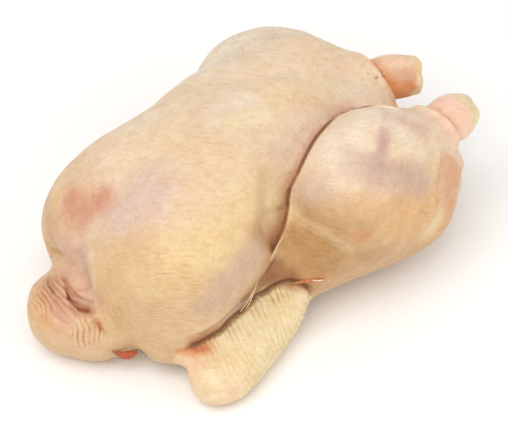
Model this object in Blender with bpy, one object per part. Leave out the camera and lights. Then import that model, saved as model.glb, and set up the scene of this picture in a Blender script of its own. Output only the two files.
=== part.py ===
"""A whole raw chicken lying on its back, as one closed solid.

The neck end points to -X, the hocks to +X, the breast up to +Z, and the bird stands on z = 0.
Every mass under the skin (breast and back, thighs, drumsticks, wings, neck, tail) is a closed loft.
The lofts are joined, the join is drawn over with one skin, and the folds are pressed into it.
"""

import math

import bmesh
import bpy
import numpy as np
from mathutils import Vector

MM = 0.001

# Driving dimensions, in millimetres.
TORSO_FRONT_X = -104
TORSO_REAR_X = 106
BREAST_HALF_WIDTH = 64
BREAST_HEIGHT = 114
DRUMSTICK_RADIUS = 32
SHANK_RADIUS = 11.5
KNUCKLE_RADIUS = 13.5
CUFF_RADIUS = 17
FLAT_HALF_WIDTH = 15.5
FLAT_HALF_THICKNESS = 12

SKIN_VOXEL = 2.0
END_FADE = 0.12
SKIN_TRIANGLES = 11600
RIDGE_PITCH = 6.5
RIDGE_HEIGHT = 0.55
RIDGE_LEAN = 0.25
RING_SIDES = 28
STEPS_PER_SPAN = 5


def smooth_through(keys, values, at):
    """Values at `at` on a smooth curve through (keys, values), with Catmull-Rom slopes."""
    keys = np.asarray(keys, float)
    values = np.asarray(values, float).reshape(len(keys), -1)
    slopes = np.gradient(values, keys, axis=0)
    span = np.clip(np.searchsorted(keys, at, side="right") - 1, 0, len(keys) - 2)
    width = keys[span + 1] - keys[span]
    t = ((at - keys[span]) / width)[:, None]
    width = width[:, None]
    return (
        values[span] * (1 + 2 * t) * (1 - t) ** 2
        + slopes[span] * width * t * (1 - t) ** 2
        + values[span + 1] * t * t * (3 - 2 * t)
        + slopes[span + 1] * width * t * t * (t - 1)
    )


def solid_from_rings(name, rings, collection):
    """Closes a stack of point rings with quads along it and a fan at each end."""
    mesh = bpy.data.meshes.new(name)
    bm = bmesh.new()
    stack = [[bm.verts.new(point) for point in ring] for ring in rings]
    for lower, upper in zip(stack, stack[1:]):
        for i in range(len(lower)):
            j = (i + 1) % len(lower)
            bm.faces.new((lower[i], lower[j], upper[j], upper[i]))
    for ring in (stack[0], stack[-1]):
        centre = bm.verts.new(sum((v.co for v in ring), Vector()) / len(ring))
        for i in range(len(ring)):
            bm.faces.new((ring[i], ring[(i + 1) % len(ring)], centre))
    bmesh.ops.recalc_face_normals(bm, faces=bm.faces)
    bm.to_mesh(mesh)
    bm.free()
    obj = bpy.data.objects.new(name, mesh)
    collection.objects.link(obj)
    return obj


def limb(name, stations, collection, last_bulge=0.55):
    """A closed loft along a bent line.

    Each station is (x, y, z, half side, half height) in millimetres. The ends are rounded off,
    the last one by `last_bulge` of its radius.
    """
    stations = np.asarray(stations, float)
    keys = np.arange(len(stations), dtype=float)
    at = np.linspace(0, len(stations) - 1, (len(stations) - 1) * STEPS_PER_SPAN + 1)
    line = smooth_through(keys, stations, at)
    first, last = line[0].copy(), line[-1].copy()
    along_first = (line[1] - line[0])[:3]
    along_last = (line[-1] - line[-2])[:3]
    along_first /= np.linalg.norm(along_first)
    along_last /= np.linalg.norm(along_last)
    caps = []
    for end, along, sign, share in (
        (first, along_first, -1, 0.55),
        (last, along_last, 1, last_bulge),
    ):
        bulge = share * min(end[3], end[4])
        cap = []
        for angle in (30, 55, 75):
            ring = end.copy()
            ring[:3] += sign * along * bulge * math.sin(math.radians(angle))
            ring[3:] *= math.cos(math.radians(angle))
            cap.append(ring)
        caps.append(cap)
    line = np.array(caps[0][::-1] + list(line) + caps[1])
    tangents = np.gradient(line[:, :3], axis=0)
    rings = []
    for row, tangent in zip(line, tangents):
        tangent = Vector(tangent).normalized()
        side = tangent.cross(Vector((0, 0, 1))).normalized()
        rise = side.cross(tangent).normalized()
        turn = [2 * math.pi * i / RING_SIDES for i in range(RING_SIDES)]
        rings.append(
            [
                (Vector(row[:3]) + side * row[3] * math.cos(a) + rise * row[4] * math.sin(a)) * MM
                for a in turn
            ]
        )
    return solid_from_rings(name, rings, collection)


def torso(collection):
    """Breast and back in one loft along X, flat below and crowned above."""
    # x, y of the middle, half width, z of the keel, z of the back, power of the lower half
    stations = np.array(
        [
            (TORSO_FRONT_X, 14, 25, 68, 32, 0.8),
            (-98, 8, 41, 80, 18, 0.75),
            (-85, 3, 54, 95, 6, 0.72),
            (-67, 0, BREAST_HALF_WIDTH - 2, 105, 0, 0.78),
            (-42, 0, BREAST_HALF_WIDTH - 3, BREAST_HEIGHT - 2, -3, 0.95),
            (-16, 5, BREAST_HALF_WIDTH - 8, BREAST_HEIGHT, -3, 1.0),
            (10, 8, 47, 111, -3, 0.9),
            (38, 10, 40, 104, -2, 0.8),
            (66, 11, 30, 91, 3, 0.8),
            (88, 9, 26, 76, 14, 0.8),
            (TORSO_REAR_X, 9, 15, 60, 32, 0.8),
        ],
        float,
    )
    at = np.linspace(TORSO_FRONT_X, TORSO_REAR_X, 52)
    rows = smooth_through(stations[:, 0], stations[:, 1:], at)
    rings = []
    for x, (middle, half_width, keel, back, lower_power) in zip(at, rows):
        waist = back + 0.47 * (keel - back)
        ring = []
        for i in range(2 * RING_SIDES):
            angle = math.pi * i / RING_SIDES
            across, rise = math.cos(angle), math.sin(angle)
            # The upper half is a round breast, the lower half squares off on the table.
            power = 0.95 if rise > 0 else lower_power
            height = keel - waist if rise > 0 else waist - back
            ring.append(
                Vector(
                    (
                        x,
                        middle + half_width * math.copysign(abs(across) ** power, across),
                        waist + height * math.copysign(abs(rise) ** power, rise),
                    )
                )
                * MM
            )
        rings.append(ring)
    return solid_from_rings("torso", rings, collection)


def near_leg(collection):
    """Thigh, drumstick, skin cuff, shank and knuckle of the leg on the -Y side."""
    limb(
        "near_thigh",
        [
            (-14, -43, 36, 22, 27),
            (16, -40, 41, 27, 33),
            (50, -40, 43, 33, 36),
            (77, -41, 42, 33, 35),
            (98, -39, 41, 22, 23),
        ],
        collection,
    )
    limb(
        "near_leg_fat",
        [
            (3, -46, 50, 20, 27),
            (28, -48, 54, 27, 34),
            (56, -49, 56, 28, 34),
            (82, -44, 55, 25, 29),
            (98, -40, 54, 18, 20),
        ],
        collection,
    )
    limb(
        "near_drumstick",
        [
            (15, -46, 68, 27, 29),
            (35, -43, 71, DRUMSTICK_RADIUS, DRUMSTICK_RADIUS),
            (54, -39, 72, DRUMSTICK_RADIUS, DRUMSTICK_RADIUS - 1),
            (78, -37, 71, 27, 26),
            (98, -36, 68, CUFF_RADIUS + 1, CUFF_RADIUS + 1),
        ],
        collection,
    )
    shank("near", (102, -36, 71), (126, -33, 64), collection)


def far_leg(collection):
    """The leg on the +Y side: its thigh splays out and its drumstick leans in on the belly."""
    limb(
        "far_thigh",
        [
            (30, 54, 48, 24, 25),
            (41, 58, 52, 32, 35),
            (57, 59, 52, 34, 37),
            (78, 50, 44, 32, 35),
            (102, 36, 38, 20, 20),
        ],
        collection,
    )
    limb(
        "far_belly",
        [
            (-16, 28, 75, 28, 30),
            (10, 31, 77, 30, 30),
            (38, 31, 75, 30, 29),
            (66, 27, 68, 26, 26),
            (88, 20, 60, 19, 20),
        ],
        collection,
    )
    limb(
        "far_drumstick",
        [
            (18, 46, 72, 22, 22),
            (40, 41, 73, 27, 27),
            (62, 37, 72, 27, 26),
            (84, 28, 67, 22, 22),
            (100, 21, 63, CUFF_RADIUS - 1, CUFF_RADIUS - 1),
        ],
        collection,
    )
    shank("far", (101, 20, 65.5), (124, 12, 62), collection)


def shank(side, start, end, collection):
    """The bare bone end that leaves the skin cuff, with its knuckle."""
    start, end = Vector(start), Vector(end)
    shares = (-0.35, 0.1, 0.45, 0.75, 1.0)
    radii = (SHANK_RADIUS, SHANK_RADIUS, SHANK_RADIUS + 0.5, KNUCKLE_RADIUS, KNUCKLE_RADIUS - 1)
    stations = []
    for share, radius in zip(shares, radii):
        stations.append((*start.lerp(end, share), radius, 0.92 * radius))
    limb(side + "_shank", stations, collection, last_bulge=0.2)


def wing(side, sign, collection):
    """Upper arm under the breast, forearm lying forward on the table, and the tip tucked below."""
    limb(
        side + "_upper_arm",
        [
            (-82, sign * 34, 24, 14, 17),
            (-66, sign * 43, 23, 17, 19),
            (-48, sign * 49, 20, 16, 18),
            (-30, sign * 51, 18, 14, 15),
            (-10, sign * 51, 16, 12, 13),
        ],
        collection,
    )
    limb(
        side + "_forearm",
        [
            (-11, sign * 54, 15, 11, 12),
            (-23, sign * 57, 14, FLAT_HALF_WIDTH - 2, FLAT_HALF_THICKNESS + 2),
            (-43, sign * 63, 13, FLAT_HALF_WIDTH, FLAT_HALF_THICKNESS + 3),
            (-63, sign * 69, 12, FLAT_HALF_WIDTH + 1, FLAT_HALF_THICKNESS + 3),
            (-76, sign * 70, 14, 14, 12),
        ],
        collection,
    )


def neck_and_tail(collection):
    """The tucked neck skin at the front and the tail between the thighs."""
    limb(
        "neck",
        [
            (-88, 0, 22, 30, 26),
            (-106, 2, 24, 29, 27),
            (-120, 5, 25, 24, 23),
        ],
        collection,
    )
    limb(
        "tail",
        [
            (84, 4, 20, 24, 17),
            (104, 4, 24, 20, 13),
            (116, 4, 29, 14, 9),
            (126, 4, 34, 7, 6),
        ],
        collection,
    )


def joined(collection):
    """One mesh object out of the collection's lofts."""
    mesh = bpy.data.meshes.new("chicken")
    chicken = bpy.data.objects.new("chicken", mesh)
    bpy.context.scene.collection.objects.link(chicken)
    first = collection.objects[0]
    chicken.data = first.data.copy()
    chicken.data.name = "chicken"
    bpy.data.objects.remove(first)
    union = chicken.modifiers.new("join", "BOOLEAN")
    union.operation = "UNION"
    union.operand_type = "COLLECTION"
    union.collection = collection
    union.solver = "EXACT"
    apply_modifiers(chicken)
    for helper in list(collection.objects):
        bpy.data.objects.remove(helper)
    bpy.data.collections.remove(collection)
    return chicken


def apply_modifiers(obj):
    """Makes the evaluated mesh the object's own."""
    bpy.context.view_layer.update()
    graph = bpy.context.evaluated_depsgraph_get()
    mesh = bpy.data.meshes.new_from_object(obj.evaluated_get(graph))
    obj.modifiers.clear()
    obj.data = mesh
    mesh.name = obj.name


def draw_skin_over(chicken):
    """Replaces the join with one even mesh and rounds its inner corners, as skin does."""
    remesh = chicken.modifiers.new("skin", "REMESH")
    remesh.mode = "VOXEL"
    remesh.voxel_size = SKIN_VOXEL * MM
    soften(chicken, 5)


def soften(chicken, iterations):
    """Evens the skin out over its nearest neighbours."""
    smooth = chicken.modifiers.new("tension", "SMOOTH")
    smooth.factor = 0.5
    smooth.iterations = iterations
    apply_modifiers(chicken)


def points_and_normals(obj):
    """The object's vertices in millimetres, and their normals."""
    mesh = obj.data
    points = np.empty(len(mesh.vertices) * 3)
    mesh.vertices.foreach_get("co", points)
    normals = np.empty(len(mesh.vertices) * 3)
    mesh.vertex_normals.foreach_get("vector", normals)
    return points.reshape(-1, 3) / MM, normals.reshape(-1, 3)


def set_points(obj, points):
    obj.data.vertices.foreach_set("co", (points * MM).ravel())
    obj.data.update()


def press(chicken, lines):
    """Presses folds into the skin, or lifts rolls out of it where the depth is negative.

    Each entry is (points along the fold in mm, depth, half width), all in millimetres.
    """
    points, normals = points_and_normals(chicken)
    for line, depth, half_width in lines:
        line = np.asarray(line, float)
        nearest = np.full(len(points), np.inf)
        share = np.zeros(len(points))
        for i in range(len(line) - 1):
            span = line[i + 1] - line[i]
            t = np.clip((points - line[i]) @ span / (span @ span), 0, 1)
            distance = np.linalg.norm(points - line[i] - t[:, None] * span, axis=1)
            closer = distance < nearest
            nearest[closer] = distance[closer]
            share[closer] = (i + t[closer]) / (len(line) - 1)
        fade = np.clip(np.minimum(share, 1 - share) / END_FADE, 0.15, 1)
        profile = np.exp(-((nearest / half_width) ** 2)) * fade
        points -= normals * (depth * profile)[:, None]
    set_points(chicken, points)


def fold_lines():
    """Folds (depth above 0) and rolls (below 0) of the skin: points in mm, depth, half width."""
    leg_fold = [
        (92, -14, 66), (78, -10, 75), (54, -10, 88), (34, -17, 91), (16, -25, 90), (2, -37, 81),
        (-8, -44, 72), (-14, -48, 60), (-22, -52, 50), (-28, -56, 40),
    ]
    axilla = [(-26, -52, 42), (-39, -58, 42), (-57, -62, 36), (-68, -59, 30), (-78, -55, 26)]
    far_edge = [(2, 58, 80), (12, 48, 95), (24, 46, 99), (36, 48, 99), (53, 50, 97), (70, 56, 92)]
    neck_fold = [
        (-106, 24, 45), (-107, 11, 46), (-109, 2, 43), (-110, -8, 42), (-109, -15, 40),
        (-107, -20, 34), (-108, -24, 23),
    ]
    shoulder_dip = [(-84, 17, 93), (-89, 9, 88), (-93, 0, 84)]
    breast_edge = [(-93, -12, 83), (-97, -16, 73), (-99, -18, 61), (-100, -21, 49), (-101, -26, 39)]
    leg_skin_edge = [(89, -58, 79), (82, -65, 74), (76, -71, 67), (70, -75, 55)]
    vent = [(104, -14, 50), (108, -2, 44), (108, 10, 43), (104, 24, 50)]
    tail_fold = [(100, -14, 34), (112, 4, 36), (100, 20, 34)]
    return [
        (leg_fold, 2.5, 3.5),
        (axilla, 3.0, 4.0),
        (far_edge, 2.0, 4.0),
        (neck_fold, 3.5, 5.0),
        (shoulder_dip, 2.2, 17.0),
        (breast_edge, -1.6, 5.0),
        (leg_skin_edge, 1.2, 2.5),
        (vent, 5.0, 4.0),
        (tail_fold, 2.0, 4.0),
    ]


def wing_ridges(chicken):
    """Rows of skin ridges across the forearm of each wing."""
    points, normals = points_and_normals(chicken)
    for sign in (-1, 1):
        elbow = np.array((-11.0, sign * 54, 14))
        wrist = np.array((-76.0, sign * 70, 14))
        length = np.linalg.norm(wrist - elbow)
        axis = (wrist - elbow) / length
        along = (points - elbow) @ axis
        across = points - elbow - along[:, None] * axis
        on_wing = np.linalg.norm(across, axis=1) < 2 * FLAT_HALF_WIDTH
        on_wing &= sign * across[:, 1] > -FLAT_HALF_WIDTH / 2
        inside = np.clip(np.minimum(along + 6, length + 4 - along) / 10, 0, 1) * on_wing
        wave = np.cos(2 * math.pi * (along + RIDGE_LEAN * across[:, 2]) / RIDGE_PITCH)
        points += normals * (RIDGE_HEIGHT * inside * wave)[:, None]
    set_points(chicken, points)


def flatten_base(chicken):
    """Cuts the underside off at z = 0 and closes it with a flat face."""
    bm = bmesh.new()
    bm.from_mesh(chicken.data)
    geometry = list(bm.verts) + list(bm.edges) + list(bm.faces)
    cut = bmesh.ops.bisect_plane(
        bm, geom=geometry, plane_co=(0, 0, 0), plane_no=(0, 0, 1), clear_inner=True
    )
    rim = [e for e in cut["geom_cut"] if isinstance(e, bmesh.types.BMEdge)]
    bmesh.ops.triangle_fill(bm, edges=rim, use_beauty=True, normal=(0, 0, -1))
    bmesh.ops.recalc_face_normals(bm, faces=bm.faces)
    bm.to_mesh(chicken.data)
    bm.free()


def thin_out(chicken):
    """Brings the mesh down to its number of triangles, keeping them where the form bends."""
    triangles = sum(len(p.vertices) - 2 for p in chicken.data.polygons)
    decimate = chicken.modifiers.new("thin", "DECIMATE")
    decimate.ratio = SKIN_TRIANGLES / triangles
    decimate.use_collapse_triangulate = True
    apply_modifiers(chicken)


def centre_on_base(chicken):
    """Moves the mesh so that the middle of its box stands on the origin."""
    points = np.array([v.co for v in chicken.data.vertices])
    middle = (points.min(0) + points.max(0)) / 2
    for vertex in chicken.data.vertices:
        vertex.co.x -= middle[0]
        vertex.co.y -= middle[1]


def raw_skin():
    material = bpy.data.materials.new("raw_skin")
    material.use_nodes = True
    shader = material.node_tree.nodes["Principled BSDF"]
    shader.inputs["Base Color"].default_value = (0.79, 0.58, 0.42, 1)
    shader.inputs["Roughness"].default_value = 0.42
    shader.inputs["Metallic"].default_value = 0.0
    return material


def main():
    for obj in list(bpy.data.objects):
        bpy.data.objects.remove(obj)
    masses = bpy.data.collections.new("masses")
    bpy.context.scene.collection.children.link(masses)
    torso(masses)
    near_leg(masses)
    far_leg(masses)
    wing("near", -1, masses)
    wing("far", 1, masses)
    neck_and_tail(masses)
    chicken = joined(masses)
    draw_skin_over(chicken)
    press(chicken, fold_lines())
    soften(chicken, 3)
    wing_ridges(chicken)
    flatten_base(chicken)
    thin_out(chicken)
    centre_on_base(chicken)
    chicken.data.materials.append(raw_skin())
    chicken.data.shade_smooth()


main()
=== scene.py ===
"""The looks of a whole raw chicken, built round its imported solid.

The skin is one closed mesh drawn over the solid. Its folds, wing ridges and neck wrinkles are in
the mesh, its other wrinkles in its finish, and its tones are painted on it. The hock ends, meat
shreds and skin strands are pieces of their own. Lengths in the tables are in millimetres, in the
frame of the solid.
"""

import math

import bpy
import numpy as np
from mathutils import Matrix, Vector
from mathutils.bvhtree import BVHTree


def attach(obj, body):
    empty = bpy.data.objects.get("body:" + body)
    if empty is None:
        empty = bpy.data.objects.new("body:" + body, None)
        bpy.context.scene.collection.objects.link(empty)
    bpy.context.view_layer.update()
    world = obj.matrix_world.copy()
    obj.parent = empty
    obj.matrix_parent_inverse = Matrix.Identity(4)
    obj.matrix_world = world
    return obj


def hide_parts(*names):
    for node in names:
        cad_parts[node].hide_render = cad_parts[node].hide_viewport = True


bl_info = {
    "name": "Whole raw chicken",
    "version": (1, 0, 0),
    "blender": (4, 5, 0),
    "location": "3D View > Sidebar > Chicken",
    "description": "Draws the skin, hock ends and shreds of a raw chicken over its solid",
    "category": "Object",
}

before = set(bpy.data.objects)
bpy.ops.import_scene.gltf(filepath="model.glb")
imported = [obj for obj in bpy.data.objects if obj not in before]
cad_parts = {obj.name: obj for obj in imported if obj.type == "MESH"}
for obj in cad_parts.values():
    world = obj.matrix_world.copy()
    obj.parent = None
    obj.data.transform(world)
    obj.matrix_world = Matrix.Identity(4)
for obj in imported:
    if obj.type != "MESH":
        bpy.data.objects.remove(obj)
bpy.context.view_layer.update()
MM = 0.001

# Directions on the bird as seen from the camera: to the right, upwards and towards it.
VIEW_AZIMUTH, VIEW_ELEVATION = math.radians(-36), math.radians(46)
TOWARDS = np.array((
    math.sin(VIEW_AZIMUTH) * math.cos(VIEW_ELEVATION),
    -math.cos(VIEW_AZIMUTH) * math.cos(VIEW_ELEVATION),
    math.sin(VIEW_ELEVATION),
))
RIGHTWARDS = np.array((math.cos(VIEW_AZIMUTH), math.sin(VIEW_AZIMUTH), 0))
UPWARDS = np.cross(TOWARDS, RIGHTWARDS)

# The camera, and the pixel of the picture where the middle of the resting place lies.
CAMERA_DISTANCE, SENSOR_WIDTH, PIXELS_PER_MM = 1100, 36, 1.8
PICTURE_WIDTH, PICTURE_HEIGHT = 508, 428
RESTING_MIDDLE, RESTING_PIXEL = (1.65, -3.75, 0), (245, 258)

# Lines of the skin, in millimetres.
LEG_FOLD = (
    (84, -36, 94), (79, -33, 96), (67, -27, 97), (51, -23, 97), (34, -28, 97), (22, -34, 96),
    (10, -41, 93), (3, -43, 85), (0, -45, 75), (-6, -50, 70), (-13, -53, 64), (-21, -57, 60),
)
WING_TOP = (
    (-3, -71, 28), (-5, -69, 36), (-9, -68, 41), (-13, -67, 44), (-17, -65, 44), (-21, -61, 40),
    (-24, -58, 36), (-30, -59, 37), (-39, -62, 36), (-48, -63, 35), (-56, -64, 32), (-63, -62, 30),
    (-70, -60, 27), (-78, -57, 25),
)
BREAST_EDGE = (
    (-72, -63, 39), (-68, -65, 42), (-62, -66, 45), (-52, -67, 49), (-42, -65, 51),
    (-32, -62, 54), (-20, -57, 57), (-12, -54, 62),
)
FAR_EDGE = ((-5, 30, 106), (13, 33, 106), (38, 46, 97), (56, 48, 94), (74, 56, 86))
LOBE_FOLD = ((-103, 29, 40), (-102, 24, 46), (-102, 17, 50), (-102, 9, 54))
NECK_FOLDS = (
    # the deep pit, the fold above it and the one on the flap
    ((-112, 1, 48), (-113, -6, 48), (-114, -9, 47), (-113, -14, 46), (-112, -17, 44), (-107, -21, 42)),
    ((-109, 3, 49), (-110, -6, 48), (-109, -11, 47), (-108, -15, 47), (-105, -18, 46)),
    ((-114, 11, 46), (-117, 3, 47), (-118, -1, 47)),
)
BREAST_RIM = ((-99, -10, 72), (-101, -14, 61), (-103, -16, 49), (-106, -22, 40))
LEG_SKIN_EDGE = ((88, -62, 82), (82, -68, 77), (76, -73, 71), (73, -77, 62), (69, -79, 51))
WING_BONE = ((-9, -58, 14), (-74, -74, 14))
SHANKS = (((104, -40, 71), (128.3, -34.7, 66)), ((103, 16, 65.5), (126, 8, 62)))

# The y of a point on one wing and of its opposite on the other add up to this.
FAR_WING_MIRROR = -8
# Across its bone a wing is an upright oval, and it goes on a little past the bone's ends.
WING_HALF_WIDTH, WING_FLATNESS, WING_OVERHANG = 21, 0.72, 12
# The way across the wing ridges, where they start to fade along the bone, and the depth of the
# coarser band under the wing's upper edge.
RIDGE_WAY = 0.9 * RIGHTWARDS + 0.45 * UPWARDS
RIDGE_FADE_START, COARSE_RIDGE_BAND = 52, 9
# Round this place the mesh is finest, and the wrinkles are lifted in it.
NECK_MIDDLE, NECK_FINE_RADIUS, NECK_WRINKLE_RADIUS = (-113, -8, 40), 23, 25


def tone_property(name, description, colour):
    return bpy.props.FloatVectorProperty(
        name=name, description=description, subtype="COLOR", size=3, min=0, max=1, default=colour
    )


# Several of these tones are also painted into the folds, hollows, the neck pit and the under sides of
# the hock ends as painted shade.
class ChickenTones(bpy.types.PropertyGroup):
    """Skin and meat colours."""

    cream: tone_property("Cream", "Most of the skin", (0.79, 0.62, 0.44))
    ivory: tone_property("Ivory", "Stretched pale skin", (0.84, 0.72, 0.60))
    pearl: tone_property("Pearl", "Thin grey-white skin", (0.80, 0.70, 0.57))
    peach: tone_property("Peach", "Warm skin over fat", (0.84, 0.60, 0.42))
    straw: tone_property("Straw", "Light yellow skin", (0.82, 0.69, 0.43))
    fat_yellow: tone_property("Fat yellow", "Yellow fat under the skin", (0.77, 0.58, 0.31))
    sallow: tone_property("Sallow", "Skin low on the body", (0.66, 0.45, 0.24))
    amber: tone_property("Amber", "Fat at the back of the thigh", (0.73, 0.44, 0.20))
    tan: tone_property("Tan", "Thicker, darker skin", (0.56, 0.34, 0.16))
    ochre: tone_property("Ochre", "Skin in the bend of the knee", (0.45, 0.24, 0.08))
    umber: tone_property("Umber", "Shaded membrane", (0.30, 0.12, 0.045))
    brown_red: tone_property("Brown red", "Bottom of the folds", (0.38, 0.12, 0.05))
    orange: tone_property("Orange", "Fat with blood in it", (0.68, 0.28, 0.11))
    rose: tone_property("Rose", "Blood close under the skin", (0.58, 0.27, 0.18))
    red: tone_property("Red", "Bare meat", (0.52, 0.10, 0.05))
    pink: tone_property("Pink", "Meat under thin skin", (0.66, 0.40, 0.27))
    fringe: tone_property("Fringe", "Gristle round the cut end", (0.78, 0.65, 0.34))
    blush: tone_property("Blush", "Gristle on the bone end", (0.88, 0.60, 0.47))
    lilac: tone_property("Lilac", "Muscle under thin skin", (0.65, 0.48, 0.42))
    mauve: tone_property("Mauve", "Darker muscle under the skin", (0.55, 0.38, 0.31))
    purple: tone_property("Purple", "A vein under the skin", (0.52, 0.28, 0.27))


class ChickenSkin(bpy.types.PropertyGroup):
    """Sizes of the skin's mesh and relief."""

    mesh_size: bpy.props.FloatProperty(
        name="Mesh size", description="Edge of the even mesh of the skin",
        default=0.0025, min=0.001, max=0.004, unit="LENGTH", subtype="DISTANCE",
    )
    wrinkle_depth: bpy.props.FloatProperty(
        name="Wrinkle depth", description="Depth of the fine wrinkles",
        default=0.0005, min=0, max=0.002, unit="LENGTH", subtype="DISTANCE",
    )
    ridge_height: bpy.props.FloatProperty(
        name="Ridge height", description="Height of the ridges across the wings",
        default=0.0007, min=0, max=0.002, unit="LENGTH", subtype="DISTANCE",
    )
    ridge_pitch: bpy.props.FloatProperty(
        name="Ridge pitch", description="Distance from one wing ridge to the next",
        default=0.0029, min=0.001, max=0.01, unit="LENGTH", subtype="DISTANCE",
    )


class ChickenStage(bpy.types.PropertyGroup):
    """The floor, lights and camera."""

    floor_colour: tone_property("Floor", "Colour of the plain floor", (0.98, 0.98, 0.98))
    daylight: bpy.props.FloatProperty(
        name="Daylight", description="Strength of the even light from all round", default=0.72, min=0
    )
    key_power: bpy.props.FloatProperty(
        name="Key light", description="Power of the large soft light", default=7.5, min=0, unit="POWER"
    )


def smooth_step(share):
    share = np.clip(share, 0, 1)
    return share * share * (3 - 2 * share)


def soft_noise(points, size, seed):
    """Smooth noise from -1 to 1 whose lumps are about `size` millimetres across."""
    table = np.random.default_rng(seed).uniform(-1, 1, (16, 16, 16))
    grid = points / size + seed * 3.17
    cell = np.floor(grid).astype(int)
    share = smooth_step(grid - cell)
    total = np.zeros(len(points))
    for corner in np.ndindex(2, 2, 2):
        weight = np.prod(np.where(corner, share, 1 - share), axis=1)
        total += weight * table[tuple(((cell + corner) % 16).T)]
    return total


def rough_noise(points, size, seed):
    """Noise with two finer layers on top."""
    return (
        soft_noise(points, size, seed)
        + 0.5 * soft_noise(points, size / 2, seed + 1)
        + 0.25 * soft_noise(points, size / 4, seed + 2)
    ) / 1.4


def curve_through(line, steps=5):
    """Points on a smooth curve through the line's points."""
    line = np.asarray(line, float)
    if len(line) < 3:
        return line
    slopes = np.gradient(line, axis=0)
    made = []
    for i in range(len(line) - 1):
        for t in np.arange(steps) / steps:
            made.append(
                line[i] * (1 + 2 * t) * (1 - t) ** 2
                + slopes[i] * t * (1 - t) ** 2
                + line[i + 1] * t * t * (3 - 2 * t)
                + slopes[i + 1] * t * t * (t - 1)
            )
    made.append(line[-1])
    return np.array(made)


def along_line(points, line):
    """Distance of every point to the line, and its share of the way."""
    nearest = np.full(len(points), np.inf)
    share = np.zeros(len(points))
    for i in range(len(line) - 1):
        span = line[i + 1] - line[i]
        t = np.clip((points - line[i]) @ span / (span @ span), 0, 1)
        distance = np.linalg.norm(points - line[i] - t[:, None] * span, axis=1)
        closer = distance < nearest
        nearest[closer] = distance[closer]
        share[closer] = (i + t[closer]) / (len(line) - 1)
    return nearest, share


def settled(skin, line):
    """The curve through the line, with every point moved to the nearest place on the skin."""
    tree = BVHTree.FromPolygons(
        [Vector(p) for p in points_of(skin)], [tuple(f.vertices) for f in skin.data.polygons]
    )
    placed = np.array([tree.find_nearest(Vector(p))[0] for p in curve_through(line)])
    placed[1:-1] = (placed[:-2] + placed[1:-1] + placed[2:]) / 3
    return placed


def spot(points, centre, radii):
    """1 at the centre, 0 from the radii on."""
    distance = np.linalg.norm((points - np.asarray(centre)) / np.asarray(radii, float), axis=1)
    return smooth_step(1 - distance)


def only(obj):
    """Makes obj the one selected and active object."""
    bpy.ops.object.select_all(action="DESELECT")
    bpy.context.view_layer.objects.active = obj
    obj.select_set(True)


def edit_whole(obj):
    """Opens obj in edit mode with all of it selected."""
    only(obj)
    bpy.ops.object.mode_set(mode="EDIT")
    bpy.ops.mesh.select_all(action="SELECT")


def apply_modifier(obj, kind, **settings):
    only(obj)
    bpy.ops.object.modifier_add(type=kind)
    modifier = obj.modifiers[-1]
    for key, value in settings.items():
        setattr(modifier, key, value)
    bpy.ops.object.modifier_apply(modifier=modifier.name)


def points_of(obj):
    points = np.empty(len(obj.data.vertices) * 3)
    obj.data.vertices.foreach_get("co", points)
    return points.reshape(-1, 3) / MM


def normals_of(obj):
    normals = np.empty(len(obj.data.vertices) * 3)
    obj.data.vertex_normals.foreach_get("vector", normals)
    return normals.reshape(-1, 3)


def set_points(obj, points):
    obj.data.vertices.foreach_set("co", (points * MM).ravel())
    obj.data.update()


def lift(obj, height):
    """Moves every vertex outwards by its height in millimetres."""
    set_points(obj, points_of(obj) + normals_of(obj) * height[:, None])


def set_tones(obj, tones):
    rgba = np.ones((len(tones), 4), np.float32)
    rgba[:, :3] = tones
    layer = obj.data.color_attributes.new("tone", "FLOAT_COLOR", "POINT")
    layer.data.foreach_set("color", rgba.ravel())


def tone_of(name):
    return np.array(getattr(bpy.context.scene.chicken_tones, name))


def paint(tones, name, weight):
    """Mixes a named tone into the tones themselves, by a weight for each point."""
    tones += weight[:, None] * (tone_of(name) - tones)


def dress(piece, finish):
    """Shades the piece smoothly and gives it its one finish."""
    only(piece)
    bpy.ops.object.shade_smooth()
    piece.data.materials.clear()
    piece.data.materials.append(finish)


def even_skin(size):
    """A copy of the solid's mesh as one even quad mesh."""
    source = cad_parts["chicken"]
    skin = bpy.data.objects.new("chicken_skin", source.data.copy())
    bpy.context.scene.collection.objects.link(skin)
    edit_whole(skin)
    bpy.ops.mesh.remove_doubles(threshold=1e-6)
    bpy.ops.object.mode_set(mode="OBJECT")
    apply_modifier(skin, "REMESH", mode="VOXEL", voxel_size=size)
    apply_modifier(skin, "SMOOTH", factor=0.5, iterations=4)
    return skin


def mirrored(points):
    """Points of one side taken over to the other."""
    points = np.array(points, float)
    points[:, 1] = FAR_WING_MIRROR - points[:, 1]
    return points


def on_wings(points):
    """For each wing: how far inside it a point is, its place along the bone, how far it is
    below the wing's upper edge, and the points.

    The far wing's points are mirrored over to the near wing first.
    """
    elbow, wrist = np.array(WING_BONE, float)
    length = np.linalg.norm(wrist - elbow)
    axis = (wrist - elbow) / length
    for near in (points, mirrored(points)):
        along = (near - elbow) @ axis
        off = near - elbow - along[:, None] * axis
        across = np.hypot(off[:, 1], WING_FLATNESS * off[:, 2])
        inside = smooth_step((WING_HALF_WIDTH - across) / 3)
        inside *= smooth_step((along + WING_OVERHANG) / 5)
        inside *= smooth_step((length + WING_OVERHANG - along) / 8)
        below = beside_line(near, curve_through(WING_TOP), TOWARDS)[0]
        inside *= smooth_step((below + 0.8) / 1.2)
        yield inside, along, below, near


def refine(skin, wanted):
    """Doubles the mesh on the wanted faces."""
    only(skin)
    bpy.ops.object.mode_set(mode="EDIT")
    bpy.ops.mesh.select_all(action="DESELECT")
    bpy.ops.object.mode_set(mode="OBJECT")
    skin.data.polygons.foreach_set("select", wanted)
    bpy.ops.object.mode_set(mode="EDIT")
    bpy.ops.mesh.subdivide(number_cuts=1, smoothness=0)
    bpy.ops.object.mode_set(mode="OBJECT")


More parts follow.
